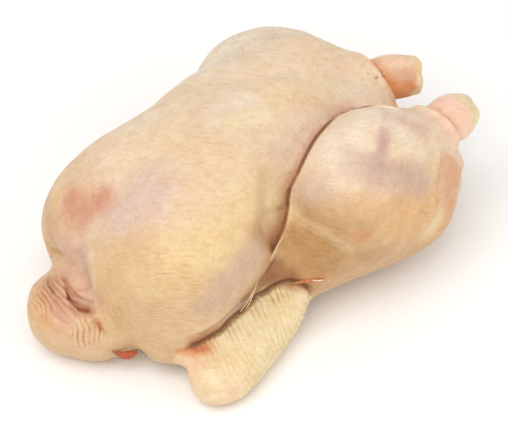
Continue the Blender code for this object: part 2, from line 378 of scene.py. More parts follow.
# Places where the mesh is doubled once, with the radius.
DOUBLED_PLACES = (((-98, -32, 46), 16), ((-78, -54, 62), 24), ((48, 60, 88), 26))


def refine_detailed_parts(skin):
    """Doubles the mesh twice where the relief is finest, and once a little further round it."""
    for spare in (3, 0):
        centres = np.empty(len(skin.data.polygons) * 3)
        skin.data.polygons.foreach_get("center", centres)
        centres = centres.reshape(-1, 3) / MM
        wanted = np.linalg.norm(centres - NECK_MIDDLE, axis=1) < NECK_FINE_RADIUS + spare
        for centre, radius in DOUBLED_PLACES if spare else ():
            wanted |= np.linalg.norm(centres - centre, axis=1) < radius
        for line, radius in (
            (LEG_FOLD, 5), (WING_TOP, 3.5), (BREAST_EDGE, 3.5), (LOBE_FOLD, 3), (BREAST_RIM, 3),
            (LEG_SKIN_EDGE, 3), (FAR_EDGE, 1.5), (mirrored(WING_TOP), 2),
        ):
            wanted |= along_line(centres, settled(skin, line))[0] < radius + spare
        # the rim of the far wing is doubled only once
        for (inside, *_), limit in zip(on_wings(centres), (0.1, 0.1 if spare else 0.9)):
            wanted |= inside > limit
        for (start, end), (place, slant, *_) in zip(SHANKS, CUFFS):
            along, off = beside_axis(centres, start, end)
            edge = along - place + slant * (off @ UPWARDS)
            wanted |= (np.abs(edge) < 2.5 + 2 * spare) & (np.linalg.norm(off, axis=1) < 20)
        # the skin that lies on the table stays coarse
        wanted &= centres[:, 2] > 1
        refine(skin, wanted)


def beside_axis(points, start, end):
    """Each point's place along the axis from start to end, and its offset from it."""
    start, end = np.array(start, float), np.array(end, float)
    axis = (end - start) / np.linalg.norm(end - start)
    along = (points - start) @ axis
    return along, points - start - along[:, None] * axis


def press(skin, line, depth, half_width, fade_share=0.1):
    """Presses a fold into the skin along a line, or rolls it up where the depth is negative."""
    points = points_of(skin)
    distance, share = along_line(points, settled(skin, line))
    fade = np.clip(np.minimum(share, 1 - share) / fade_share, 0.1, 1)
    wander = 1 + 0.25 * soft_noise(points, 6, 11)
    lift(skin, -depth * np.exp(-((distance / (half_width * wander)) ** 2)) * fade)


def beside_line(points, line, out):
    """Each point's place beside a line, its height over it, its share of the way, the way out
    there and its distance.

    The first is positive on the left of the line's run, as seen with `out` pointing at you.
    """
    out = np.broadcast_to(out, line.shape)
    side = np.cross(out, np.gradient(line, axis=0))
    side /= np.linalg.norm(side, axis=1)[:, None]
    _distance, share = along_line(points, line)
    place = share * (len(line) - 1)
    steps = np.arange(len(line))
    centre, outwards, sideways = (
        np.stack([np.interp(place, steps, way[:, i]) for i in range(3)], axis=1)
        for way in (line, out, side)
    )
    off = points - centre
    return (
        np.einsum("ij,ij->i", off, sideways), np.einsum("ij,ij->i", off, outwards), share,
        outwards, np.linalg.norm(off, axis=1),
    )


def overlap(skin, line, depth, slope, lip, out, reach, fade_share, shade_width):
    """Folds one side of the skin over the other along a line.

    Left of the line's run the skin keeps a rounded lip, and on its right it dips under it by
    the depth and rises again at the slope. The weight of the shade painted under the lip is returned.
    """
    points, normals = points_of(skin), normals_of(skin)
    if out is None:
        # the line is laid on the skin, and the way out is the mean of the normals round it
        line = settled(skin, line)[::2]
        out = np.array([
            np.exp(-((points - place) ** 2).sum(axis=1) / 30) @ normals for place in line
        ])
        out /= np.linalg.norm(out, axis=1)[:, None]
    else:
        line = curve_through(line)
    aside, height, share, outwards, distance = beside_line(points, line, out)
    near = smooth_step((reach - distance) / 6)
    near *= smooth_step(np.minimum(share, 1 - share) / fade_share + 0.05)
    under = smooth_step(0.5 - aside / 0.7)
    ceiling = -depth * near + slope * np.maximum(-aside, 0)
    blend = 2 + 1.3 * depth
    sunk = np.maximum(height - ceiling, 0) * under
    sunk *= smooth_step((depth / slope + blend + aside) / blend)
    floor = -0.5 * np.maximum(lip - aside, 0) ** 2 / lip
    raised = np.clip(floor - height, 0, 3) * (1 - under) * smooth_step((lip + 3 - aside) / 3)
    set_points(skin, points + ((raised - sunk) * near)[:, None] * outwards)
    # the weight of the shade painted under the lip, near the line
    return under * near * np.exp(-((np.minimum(aside, 0) / shade_width) ** 2))


def grab(skin, centre, radius, vector):
    """Pulls the flesh round a place by a vector."""
    points = points_of(skin)
    weight = spot(points, centre, (radius,) * 3)
    set_points(skin, points + weight[:, None] * np.asarray(vector, float))


# Larger forms between the folds. Lines pressed in, with depth and half width, and flesh pulled
# about: place, radius and by how much.
PRESSED = (
    (((-101, 0, 68), (-103, -6, 57), (-106, -12, 50)), 2.2, 6),
    (((-117, -4, 46), (-118, -12, 44), (-115, -20, 40), (-110, -25, 37)), -1.8, 3.5),
    (BREAST_RIM, -0.5, 3.0),
    (((85, -60, 82), (79, -67, 77), (73, -72, 72), (70, -75, 62), (66, -78, 52)), -1.0, 2.5),
)
PULLED = (
    ((-34, -66, 32), 24, (-0.4, 0.8, 1.8)),
    ((-10, -68, 26), 16, (2.5, -1.5, 3)),
    ((92, -34, 93), 32, (-2.1, -2.9, -3.4)),
    ((88, 20, 86), 26, (-1.8, -2.5, -2.9)),
    ((92, 30, 84), 20, (-0.8, -1.2, -1.4)),
    ((96, -66, 62), 18, (1.6, -1.2, 0)),
)


def body_relief(skin):
    """Brings out the larger forms that lie between the folds, the neck flap first."""
    grab(skin, (-124, -14, 18), 26, (5, 1.5, 2.5))
    for line, depth, half_width in PRESSED:
        press(skin, line, depth, half_width)
    for centre, radius, vector in PULLED:
        grab(skin, centre, radius, vector)


# Folds: line, way out, depth, slope, lip, reach, share that fades out at the ends, and the
# tone, strength and width of the shade painted into them. The left of each line's run lies on top.
FOLDS = (
    (BREAST_EDGE, None, 3.5, 0.9, 2.0, 24, 0.1, "umber", 0.6, 4.0),
    (WING_TOP, None, 5.0, 1.1, 2.5, 18, 0.06, "umber", 0.8, 3.0),
    (mirrored(WING_TOP)[::-1], None, 2.5, 1.0, 2.5, 14, 0.2, "ochre", 0.5, 2.5),
    (LEG_FOLD, TOWARDS, 7.0, 0.65, 3.0, 26, 0.08, "rose", 0.5, 6.0),
    (LEG_FOLD, TOWARDS, 7.5, 1.5, 1.5, 26, 0.08, "umber", 0.8, 1.2),
    (FAR_EDGE[::-1], None, 1.0, 0.4, 4.0, 24, 0.45, "tan", 0.15, 3.0),
    (LOBE_FOLD[::-1], None, 1.2, 0.5, 2.0, 24, 0.3, "tan", 0.6, 2.2),
    (BREAST_RIM, None, 1.0, 0.4, 1.5, 24, 0.3, "mauve", 0.3, 2.5),
    (NECK_FOLDS[0][::-1], None, 4.5, 1.0, 1.5, 10, 0.1, "brown_red", 0.95, 2.2),
    (LEG_SKIN_EDGE[::-1], None, 2.2, 0.6, 1.0, 24, 0.1, "umber", 0.4, 1.2),
)
# Small folds cut in: line, depth and half width.
SMALL_FOLDS = (
    (NECK_FOLDS[1], 1.4, 1.0),
    (NECK_FOLDS[2], 1.2, 1.0),
    (((-106, -24, 38), (-106, -27, 33)), 1.0, 1.0),
)


def fold_relief(skin):
    """Folds the skin and cuts the small folds into it. The shades to be painted into the folds are
    returned.
    """
    shades = []
    for line, out, depth, slope, lip, reach, fade, tone, strength, width in FOLDS:
        shade = overlap(skin, line, depth, slope, lip, out, reach, fade, width)
        shades.append((tone, strength * shade))
    for line, depth, half_width in SMALL_FOLDS:
        press(skin, line, depth, half_width)
    return shades


# Where the skin ends round each shank: place along it, slant, lip height, the skin's radius at
# the lip and past it, and how far from the shank's axis the flesh follows.
CUFFS = ((-2.5, 0.28, 2.2, 12.2, 8.0, 30), (3.3, 0.58, 0.9, 13.0, 8.0, 21))


def cuff_relief(skin):
    """Rolls the skin into a lip where it ends round each shank and draws in the bare end."""
    for (start, end), (place, slant, lip, lip_radius, end_radius, reach) in zip(SHANKS, CUFFS):
        points = points_of(skin)
        along, off = beside_axis(points, start, end)
        radius = np.maximum(np.linalg.norm(off, axis=1), 0.1)
        near = smooth_step((reach - radius) / 6)
        edge = along - place + slant * (off @ UPWARDS) + 0.8 * soft_noise(points, 7, 23)
        # the leg tapers to the lip
        wanted = lip_radius + 0.8 * np.maximum(-edge, 0)
        close = smooth_step((25 - radius) / 5)
        taper = np.minimum(0, wanted / radius - 1) * close * smooth_step((along + 24) / 12)
        set_points(skin, points + off * taper[:, None])
        roll = near * smooth_step((along + 16) / 8)
        lift(skin, lip * np.exp(-(((edge + 2.2) / 2.4) ** 2)) * roll)
        # past the lip the skin is drawn in under the bare end, and ends about 20 mm along it
        points = points_of(skin)
        along, off = beside_axis(points, start, end)
        inside = smooth_step((edge + 0.6) / 1.2) * roll
        radius = np.maximum(np.linalg.norm(off, axis=1), 0.1)
        drawn = off * np.minimum(0, end_radius / radius - 1)[:, None] * inside[:, None]
        shorter = np.outer(np.minimum(0, 20 - along) * inside, (np.array(end) - start) / 25)
        set_points(skin, points + drawn + shorter)


def flatten_wings(skin):
    """Takes the solid's coarse ridges off the wings, before the fine ones are drawn."""
    points = points_of(skin)
    inside = np.zeros(len(points))
    for share, *_ in on_wings(points):
        inside = np.maximum(inside, share)
    group = skin.vertex_groups.new(name="wings")
    for weight in (0.5, 1.0):
        chosen = np.flatnonzero(inside > weight - 0.45)
        group.add([int(i) for i in chosen], weight, "REPLACE")
    apply_modifier(skin, "SMOOTH", factor=0.5, iterations=14, vertex_group="wings")
    skin.vertex_groups.clear()


def wing_relief(skin, settings):
    """Broken ridges across each wing, coarser along its upper edge. The weights of the shade painted
    into their valleys are returned.
    """
    points = points_of(skin)
    pitch = settings.ridge_pitch / MM
    height, valley_shade_weight = np.zeros(len(points)), np.zeros(len(points))
    for inside, along, below, near in on_wings(points):
        wander = 0.45 * soft_noise(near, 9, 31) + 0.3 * soft_noise(near, 3.5, 32)
        wave = 2 * np.abs(np.sin(math.pi * (near @ RIDGE_WAY / pitch + wander))) - 1
        broken = np.clip(0.7 + 0.8 * soft_noise(near, 6, 33), 0, 1.3)
        broken *= 1 - 0.8 * smooth_step((along - RIDGE_FADE_START) / 16)
        edge = smooth_step((COARSE_RIDGE_BAND - below) / 7)
        height += inside * wave * broken * (0.6 + 0.8 * edge)
        valley_shade_weight += inside * np.clip(-wave, 0, 1) * broken * (0.35 + 0.65 * edge)
    lift(skin, settings.ridge_height / MM * height)
    return valley_shade_weight


# Fields of wrinkles: set, place, radii, direction across them (rightwards and upwards as seen
# from the camera), pitch, strength. The fields of one set stay clear of each other.
WRINKLES = (
    ("a", (-119, -2, 44), (14, 18, 14), (0.72, 0.69), 3.3, 1.0),
    ("b", (-113, -24, 35), (11, 11, 13), (0.99, 0.10), 2.5, 1.0),
    ("c", (-124, 8, 34), (9, 12, 14), (0.35, 0.93), 4.0, 0.6),
    ("a", (-80, -53, 60), (25, 26, 23), (-0.06, 1.0), 1.9, 0.75),
    ("b", (-97, -33, 45), (9, 10, 16), (0.87, 0.49), 2.9, 0.8),
    ("b", (-72, -48, 80), (27, 16, 11), (0.05, 1.0), 3.0, 0.6),
    ("c", (-60, -63, 62), (20, 14, 17), (0.25, 0.97), 2.4, 0.6),
    ("c", (-96, 12, 74), (14, 20, 18), (0.5, 0.86), 3.4, 0.6),
    ("a", (28, -60, 98), (27, 17, 17), (0.36, 0.93), 2.0, 0.5),
    ("b", (40, -4, 103), (26, 14, 12), (0.2, 0.98), 2.1, 0.4),
    ("c", (4, -67, 66), (19, 14, 20), (0.42, 0.91), 3.0, 0.75),
    ("b", (48, -77, 56), (34, 14, 27), (0.3, 0.95), 2.6, 0.5),
    ("a", (46, 60, 86), (32, 20, 18), (0.8, 0.6), 3.6, 0.9),
    ("c", (-30, -14, 112), (34, 18, 12), (0.15, 0.98), 2.4, 0.3),
    ("a", (-80, 46, 66), (26, 24, 26), (0.2, 0.98), 2.4, 0.6),
    ("c", (40, 76, 54), (34, 18, 26), (0.4, 0.9), 2.8, 0.6),
)
WRINKLE_SETS = ("a", "b", "c")


def wrinkle_phases(points):
    """For each set: how many wrinkles over a point lies, and how strong they are there."""
    phases = {name: np.zeros(len(points)) for name in WRINKLE_SETS}
    strengths = {name: np.zeros(len(points)) for name in WRINKLE_SETS}
    for number, (name, centre, radii, (right, up), pitch, strength) in enumerate(WRINKLES):
        distance = np.linalg.norm((points - centre) / (np.array(radii) * 1.25), axis=1)
        inside = smooth_step(1.6 * (1 - distance))
        direction = right * RIGHTWARDS + up * UPWARDS
        wander = 1.3 * soft_noise(points, 5 * pitch, 40 + number)
        wander += 0.5 * soft_noise(points, 2 * pitch, 60 + number)
        broken = np.clip(0.65 + 0.75 * soft_noise(points, 2.5 * pitch, 80 + number), 0, 1.2)
        stronger = distance < 1
        phases[name][stronger] = (points @ direction / pitch + wander)[stronger]
        strengths[name] += strength * inside * broken
    return phases, strengths


def wrinkle_relief(skin, depth):
    """Lifts the wrinkles of the neck in the mesh and keeps all of them for the finish.

    Nothing is left below the table.
    """
    points = points_of(skin)
    phases, strengths = wrinkle_phases(points)
    fine_mesh = np.linalg.norm(points - NECK_MIDDLE, axis=1) < NECK_WRINKLE_RADIUS
    height = np.zeros(len(points))
    for name in WRINKLE_SETS:
        wave = 2 * np.abs(np.sin(math.pi * phases[name])) - 1
        height += strengths[name] * wave
        layer = skin.data.attributes.new("wrinkles_" + name, "FLOAT_VECTOR", "POINT")
        values = np.stack([phases[name], strengths[name], np.zeros(len(points))], axis=1)
        layer.data.foreach_set("vector", values.astype(np.float32).ravel())
    lift(skin, depth / MM * height * fine_mesh)
    points = points_of(skin)
    points[:, 2] = np.maximum(points[:, 2], 0)
    set_points(skin, points)


def flesh_relief(skin):
    """The low unevenness that soft flesh has everywhere but where it lies on the table."""
    points = points_of(skin)
    above = smooth_step((points[:, 2] - 1) / 12)
    neck = spot(points, (-121, -6, 38), (24, 24, 24))
    uneven = 0.55 * soft_noise(points, 17, 5) + 0.25 * soft_noise(points, 7, 6)
    lift(skin, above * (uneven + 1.1 * neck * rough_noise(points, 6.5, 8)))
    points = points_of(skin)
    points[:, 2] = np.where(points[:, 2] < 0.05, np.maximum(points[:, 2], 0), points[:, 2])
    set_points(skin, points)


# Painted areas, drawn in order: tone, strength, radius, points on the skin.
AREAS = (
    # low on the body, the neck and the near leg
    ("sallow", 0.75, 50, ((-84, -44, 72), (-60, -58, 64), (-30, -62, 60), (-10, -60, 56))),
    ("sallow", 0.75, 50, ((-90, 30, 56), (-60, 52, 56), (-30, 58, 54), (20, 66, 44))),
    ("sallow", 0.9, 26, ((-99, -28, 56), (-98, -34, 38), (-90, -44, 34))),
    ("sallow", 0.75, 34, ((-124, -14, 30), (-114, -26, 30), (-126, 4, 32), (-110, 22, 30))),
    ("tan", 0.7, 44, ((8, -66, 52), (24, -75, 44), (48, -79, 48), (60, -76, 30))),
    ("tan", 0.5, 44, ((10, 62, 40), (40, 80, 44), (70, 74, 40))),
    ("amber", 0.8, 26, ((50, -79, 68), (64, -79, 60), (74, -77, 54))),
    ("tan", 0.8, 18, ((14, -72, 80), (20, -75, 74), (4, -66, 84))),
    ("ochre", 0.85, 20, ((5, -68, 64), (-6, -62, 56), (-3, -58, 68), (6, -70, 50))),
    ("ochre", 0.5, 12, ((24, -76, 52), (34, -78, 46))),
    # the belly and the far leg
    ("pearl", 0.95, 30, ((16, 54, 92), (38, 68, 84), (54, 66, 84), (66, 70, 78))),
    ("peach", 0.45, 22, ((62, 22, 96), (80, 16, 88), (95, 14, 80))),
    ("ivory", 0.5, 18, ((34, -6, 103), (60, -6, 94), (70, -7, 86), (84, -6, 78))),
    ("peach", 0.4, 10, ((60, -10, 92), (72, -11, 84), (84, -10, 77))),
    ("pearl", 0.6, 18, ((5, 5, 112), (-12, -4, 113))),
    ("fat_yellow", 0.5, 15, ((24, -3, 107), (40, -3, 101), (58, 2, 95))),
    ("orange", 0.16, 9, ((30, -8, 104), (44, -8, 98))),
    ("straw", 0.6, 7, ((-12, -8, 112), (12, -9, 110))),
    ("lilac", 0.35, 14, ((28, -18, 97), (8, -27, 96), (-2, -32, 92))),
    # the breast
    ("sallow", 0.35, 40, ((-34, -15, 110), (-50, -20, 108))),
    ("lilac", 0.85, 24, ((-80, -16, 96), (-67, -19, 103))),
    ("lilac", 0.4, 16, ((-95, -9, 84), (-90, -12, 88))),
    ("sallow", 0.8, 22, ((-82, -36, 84), (-94, -24, 72))),
    ("fat_yellow", 0.9, 22, ((-14, -43, 88), (-35, -51, 92), (-53, -54, 89), (-68, -52, 84))),
    ("fat_yellow", 0.5, 12, ((-88, -42, 72), (-78, -52, 74))),
    ("straw", 0.8, 12, ((-14, -42, 90), (-11, -40, 82), (-6, -44, 78))),
    ("mauve", 0.55, 15, ((-62, -65, 62), (-50, -65, 66), (-38, -62, 70), (-27, -57, 76))),
    ("orange", 0.25, 7, ((-30, -52, 84), (-22, -51, 82))),
    # the far shoulder and the neck
    ("pink", 0.6, 26, ((-93, 20, 80), (-98, 10, 72), (-97, 26, 68))),
    ("orange", 0.3, 12, ((-92, 18, 84), (-88, 6, 87), (-82, 2, 92))),
    ("rose", 0.75, 11, ((-92, 14, 84), (-88, 6, 87), (-82, 2, 92))),
    ("rose", 0.35, 8, ((-92, 22, 82), (-97, 16, 76), (-94, 4, 80))),
    ("tan", 0.6, 10, ((-98, 30, 70), (-101, 24, 58), (-101, 28, 48))),
    ("tan", 0.25, 20, ((-95, -39, 54), (-84, -50, 62), (-75, -55, 71))),
    ("fat_yellow", 0.5, 8, ((-86, 38, 78), (-96, 30, 76))),
    # painted shade in the recess pressed in beside the breast's edge
    ("mauve", 0.7, 11, ((-101, -4, 68), (-101, -6, 56), (-105, -13, 48))),
    ("pink", 0.8, 14, ((-105, -14, 46), (-106, 2, 50), (-102, 8, 60))),
    ("straw", 0.3, 3.5, BREAST_RIM),
    ("pink", 0.9, 17, ((-120, -10, 44), (-119, 2, 46), (-113, 8, 47))),
    ("rose", 0.55, 6, ((-121, -14, 43), (-119, -7, 46))),
    ("rose", 0.45, 5, ((-128, -4, 38), (-126, -12, 37), (-122, -17, 38))),
    ("rose", 0.4, 5, ((-120, 8, 43), (-122, 1, 44))),
    # painted shade in the neck pit
    ("brown_red", 0.6, 4, ((-113, -13, 46), (-111, -17, 44), (-107, -20, 43))),
    ("amber", 0.7, 13, ((-126, 8, 38), (-128, -4, 34))),
    ("peach", 0.35, 14, ((-121, -22, 32), (-112, -29, 28))),
    # painted shade in the small folds of the neck
    ("brown_red", 0.5, 2.4, NECK_FOLDS[1]),
    ("brown_red", 0.4, 2.4, NECK_FOLDS[2]),
    ("red", 0.8, 2.0, ((-106, -23, 39), (-106, -26, 34))),
    # between the near wing, the breast and the thigh, with ochre and umber painted as shade in the
    # hollow there
    ("ochre", 0.7, 9, ((-43, -65, 50), (-32, -62, 53), (-24, -59, 55), (-14, -62, 53), (-9, -66, 48))),
    ("umber", 0.85, 6, ((-44, -65, 43), (-36, -63, 45), (-28, -60, 46), (-20, -60, 49), (-14, -64, 48))),
    ("umber", 0.6, 7, ((-28, -60, 49), (-21, -60, 52), (-16, -62, 52), (-13, -66, 48))),
    ("lilac", 0.95, 6, ((-60, -66, 42), (-53, -66, 45), (-45, -66, 48))),
    # more painted shade in the hollow
    ("umber", 0.5, 4, ((-43, -65, 51), (-37, -64, 53), (-31, -62, 55))),
    ("orange", 0.8, 3.5, ((-78, -57, 26), (-70, -60, 30), (-66, -62, 33), (-58, -63, 35))),
    ("orange", 0.9, 3.5, ((-10, -68, 44), (-3, -69, 42), (8, -69, 39))),
    # the near drumstick
    ("ivory", 0.7, 22, ((34, -48, 102), (52, -38, 102), (70, -36, 99))),
    ("mauve", 0.55, 13, ((4, -52, 90), (9, -55, 93))),
    ("purple", 0.75, 5.5, ((58, -50, 102), (52, -57, 102), (47, -61, 100))),
    ("purple", 0.3, 4, ((71, -34, 99), (64, -43, 101), (42, -65, 98))),
    ("mauve", 0.6, 11, ((32, -58, 100), (39, -63, 98))),
    ("mauve", 0.8, 13, ((42, -67, 95), (53, -71, 89), (64, -73, 79))),
    ("purple", 0.4, 10, ((74, -48, 99), (79, -54, 94))),
    ("pearl", 0.7, 8, ((66, -56, 95), (72, -62, 88), (62, -52, 99))),
    ("amber", 0.45, 12, ((26, -70, 84), (38, -76, 78))),
    ("ochre", 0.45, 5, ((2, -62, 70), (8, -69, 66), (16, -75, 58))),
    ("straw", 0.35, 4, ((1, -58, 75), (4, -63, 74), (8, -69, 71), (13, -73, 64), (17, -75, 59))),
    ("tan", 0.5, 8, ((20, -76, 68), (27, -77, 66))),
    ("orange", 0.5, 5, ((20, -76, 68), (27, -77, 66))),
    ("orange", 0.75, 16, ((90, -70, 64), (86, -75, 52))),
    ("pink", 0.7, 9, ((88, -68, 71), (82, -76, 58))),
    ("straw", 0.6, 10, ((75, -78, 50), (70, -79, 44))),
    ("orange", 0.5, 5, ((103, 14, 78), (107, 4, 70), (105, -2, 61))),
    ("blush", 0.85, 10, ((94, -48, 88), (99, -52, 83), (100, -56, 76))),
)
# Small dark marks: feather ends and spots of blood. Tone, strength, radius and places.
SPECKS = (
    ("umber", 0.9, 1.1, ((95, 9, 79), (99, 7, 75), (103, 7, 74), (105, 5, 70))),
    ("ochre", 0.6, 1.3, ((23, -77, 52), (27, -78, 47), (30, -76, 38), (34, -77, 40), (38, -79, 44))),
    ("brown_red", 0.6, 1.2, ((50, -78, 71), (61, -80, 63), (64, -79, 62))),
    ("brown_red", 0.8, 1.6, ((-9, -50, 67), (-8, -52, 64))),
    ("rose", 0.7, 1.6, ((-86, 12, 88), (-84, 8, 90), (-90, 20, 84), (-83, 4, 91))),
)


# Marks on both wings, where they lie on the near one: tone, strength, radius and line.
WING_MARKS = (
    ("orange", 0.8, 5.0, ((-77, -60, 26), (-71, -62, 27), (-66, -64, 27))),
    ("red", 0.55, 2.4, ((-72, -61, 27.5), (-67, -63, 27))),
    ("peach", 0.9, 6.0, ((-78, -62, 20), (-79, -66, 12))),
)
# Tones mottled over the whole skin: tone, strength, size of the patches and seed. The large
# patches lie under the painted areas, and the small ones over them.
LARGE_MOTTLES = (
    ("ivory", 0.35, 34, 1), ("peach", 0.3, 26, 2), ("straw", 0.3, 30, 3), ("lilac", 0.2, 22, 4),
)
SMALL_MOTTLES = (("straw", 0.14, 5, 13), ("pink", 0.14, 4, 16), ("tan", 0.14, 3, 19))
# From this height down to this much lower the skin is painted darker and more sallow.
SALLOW_START, SALLOW_FADE = 70, 50
# Painted shade in the valleys between the wing ridges: the share of red, green and blue that they lose.
VALLEY_SHADE = np.array((0.10, 0.20, 0.32))


def paint_mottles(points, tones, mottles):
    for name, strength, size, seed in mottles:
        paint(tones, name, strength * np.clip(rough_noise(points, size, seed), 0, 1))


def paint_areas(points, tones):
    for number, (name, strength, radius, line) in enumerate(AREAS):
        distance = along_line(points, curve_through(line))[0]
        wander = 1 + 0.35 * rough_noise(points, max(0.55 * radius, 2.5), 100 + number)
        paint(tones, name, strength * smooth_step(1.15 - distance / (radius * wander)))


def paint_specks(points, tones):
    for name, strength, radius, places in SPECKS:
        for number, place in enumerate(places):
            size = radius * (0.8 + 0.4 * (number % 3) / 2)
            distance = np.linalg.norm(points - place, axis=1)
            paint(tones, name, strength * smooth_step(1.3 - distance / size))


def paint_wings(points, tones):
    for inside, along, _below, near in on_wings(points):
        paint(tones, "straw", 0.95 * inside)
        paint(tones, "fat_yellow", inside * np.clip(0.15 + 0.6 * rough_noise(near, 8, 7), 0, 0.6))
        wrist = inside * smooth_step((along - 50) / 14)
        paint(tones, "peach", wrist * np.clip(0.45 + 0.5 * rough_noise(near, 9, 8), 0, 1))
        for name, strength, radius, line in WING_MARKS:
            mark = along_line(near, np.array(line, float))[0] / radius
            mark *= 1 + 0.4 * rough_noise(near, 4, 9)
            paint(tones, name, strength * smooth_step(1.2 - mark))


def paint_skin(skin, painted_fold_shades, wing_valley_shade):
    points = points_of(skin)
    tones = np.tile(tone_of("cream"), (len(points), 1))
    paint_mottles(points, tones, LARGE_MOTTLES)
    paint(tones, "sallow", 0.8 * smooth_step((SALLOW_START - points[:, 2]) / SALLOW_FADE))
    paint_areas(points, tones)
    paint_mottles(points, tones, SMALL_MOTTLES)
    paint_specks(points, tones)
    paint_wings(points, tones)
    # painted shade in the folds
    for name, weight in painted_fold_shades:
        paint(tones, name, weight)
    # painted shade in the valleys between the wing ridges
    tones *= 1 - wing_valley_shade[:, None] * VALLEY_SHADE
    set_tones(skin, tones)


def add_node(tree, kind, settings=None, **inputs):
    """A shader node with its settings, and its inputs set or linked."""
    node = tree.nodes.new(kind)
    for key, value in (settings or {}).items():
        setattr(node, key, value)
    for key, value in inputs.items():
        socket = node.inputs[int(key[1:]) if key[1:].isdigit() else key.replace("_", " ")]
        if isinstance(value, bpy.types.NodeSocket):
            tree.links.new(value, socket)
        else:
            socket.default_value = value
    return node


def mapped(tree, value, low, high, to_low=0.0, to_high=1.0):
    return add_node(
        tree, "ShaderNodeMapRange", Value=value,
        From_Min=low, From_Max=high, To_Min=to_low, To_Max=to_high,
    ).outputs["Result"]


def computed(tree, operation, *values):
    return add_node(
        tree, "ShaderNodeMath", {"operation": operation},
        **{"_%d" % i: value for i, value in enumerate(values)},
    ).outputs[0]


def mixed(tree, share, first, second, blend="MIX"):
    return add_node(
        tree, "ShaderNodeMix", {"data_type": "RGBA", "blend_type": blend},
        Factor=share, _6=first, _7=second,
    ).outputs[2]


def tinted(tree, share, colour, tint):
    """The colour multiplied by the tint, as far as the share says."""
    return mixed(tree, share, colour, (*tint, 1), "MULTIPLY")


def texture_noise(tree, place, scale, detail):
    return add_node(
        tree, "ShaderNodeTexNoise", Vector=place, Scale=scale, Detail=detail, Roughness=0.6
    ).outputs["Fac"]


def wrinkle_wave(tree):
    """The wrinkles of every set, from -1 in a crease to 1 on a pad."""
    total = None
    for name in WRINKLE_SETS:
        kept = add_node(tree, "ShaderNodeAttribute", {"attribute_name": "wrinkles_" + name})
        parts = add_node(tree, "ShaderNodeSeparateXYZ", Vector=kept.outputs["Vector"]).outputs
        turn = computed(tree, "MULTIPLY", parts[0], math.pi)
        crease = computed(tree, "ABSOLUTE", computed(tree, "SINE", turn))
        wave = computed(tree, "MULTIPLY", computed(tree, "MULTIPLY_ADD", crease, 2.0, -1.0), parts[1])
        total = wave if total is None else computed(tree, "ADD", total, wave)
    return total


# What the finish multiplies the painted tones by: patches, dots, fine lines, and painted shade in the
# wrinkle creases.
WARM_TINT, LIGHT_TINT = (0.98, 0.94, 0.89), (1.04, 1.05, 1.06)
DOT_TINT, LINE_TINT, WRINKLE_CREASE_SHADE = (0.88, 0.76, 0.62), (0.84, 0.72, 0.58), (0.80, 0.62, 0.46)
# Its noises: how often they turn in a metre, and their detail.
PATCHES, DOTS, BUMPS, LINES = (140.0, 4.0), (640.0, 3.0), (420.0, 6.0), (620.0, 3.0)
PORES_PER_METRE = 400.0


def skin_finish(name="raw_skin", gloss=0.42, wrinkled=True):
    """Moist skin: painted tones with mottling, pores and a little light passing under it."""
    material = bpy.data.materials.new(name)
    material.use_nodes = True
    tree = material.node_tree
    shader = tree.nodes["Principled BSDF"]
    place = add_node(tree, "ShaderNodeTexCoord").outputs["Object"]
    tone = add_node(tree, "ShaderNodeAttribute", {"attribute_name": "tone"}).outputs["Color"]
    patches = texture_noise(tree, place, *PATCHES)
    dots = texture_noise(tree, place, *DOTS)
    bumps = texture_noise(tree, place, *BUMPS)
    pores = add_node(tree, "ShaderNodeTexVoronoi", Vector=place, Scale=PORES_PER_METRE)
    warm = tinted(tree, 1.0, tone, WARM_TINT)
    light = tinted(tree, 1.0, tone, LIGHT_TINT)
    colour = mixed(tree, mapped(tree, patches, 0.36, 0.64), light, warm)
    colour = tinted(tree, mapped(tree, dots, 0.42, 0.70, 0.0, 0.35), colour, DOT_TINT)
    # fine lines that run across the bird, as plucked skin creases
    stretched = add_node(
        tree, "ShaderNodeMapping", {"vector_type": "TEXTURE"}, Vector=place,
        Rotation=(0, 0, VIEW_AZIMUTH), Scale=(4.0, 1.0, 1.0),
    ).outputs["Vector"]
    lines = texture_noise(tree, stretched, *LINES)
    colour = tinted(tree, mapped(tree, lines, 0.48, 0.72, 0.0, 0.5), colour, LINE_TINT)
    height = computed(tree, "MULTIPLY", pores.outputs["Distance"], 0.10)
    height = computed(tree, "MULTIPLY_ADD", bumps, 0.25, height)
    height = computed(tree, "MULTIPLY_ADD", lines, -0.22, height)
    if wrinkled:
        wave = wrinkle_wave(tree)
        # painted shade in the creases of the wrinkles
        colour = tinted(tree, mapped(tree, wave, -0.15, -0.9, 0.0, 0.75), colour, WRINKLE_CREASE_SHADE)
        height = computed(tree, "MULTIPLY_ADD", wave, 0.16, height)
    tree.links.new(colour, shader.inputs["Base Color"])
    roughness = mapped(tree, patches, 0.3, 0.7, gloss - 0.08, gloss + 0.1)
    tree.links.new(roughness, shader.inputs["Roughness"])
    relief = add_node(tree, "ShaderNodeBump", Height=height, Strength=0.9, Distance=0.001)
    tree.links.new(relief.outputs["Normal"], shader.inputs["Normal"])
    shader.inputs["Specular IOR Level"].default_value = 0.4
    shader.inputs["Subsurface Weight"].default_value = 0.12
    shader.inputs["Subsurface Radius"].default_value = (1.0, 0.4, 0.2)
    shader.inputs["Subsurface Scale"].default_value = 0.0025
    return material


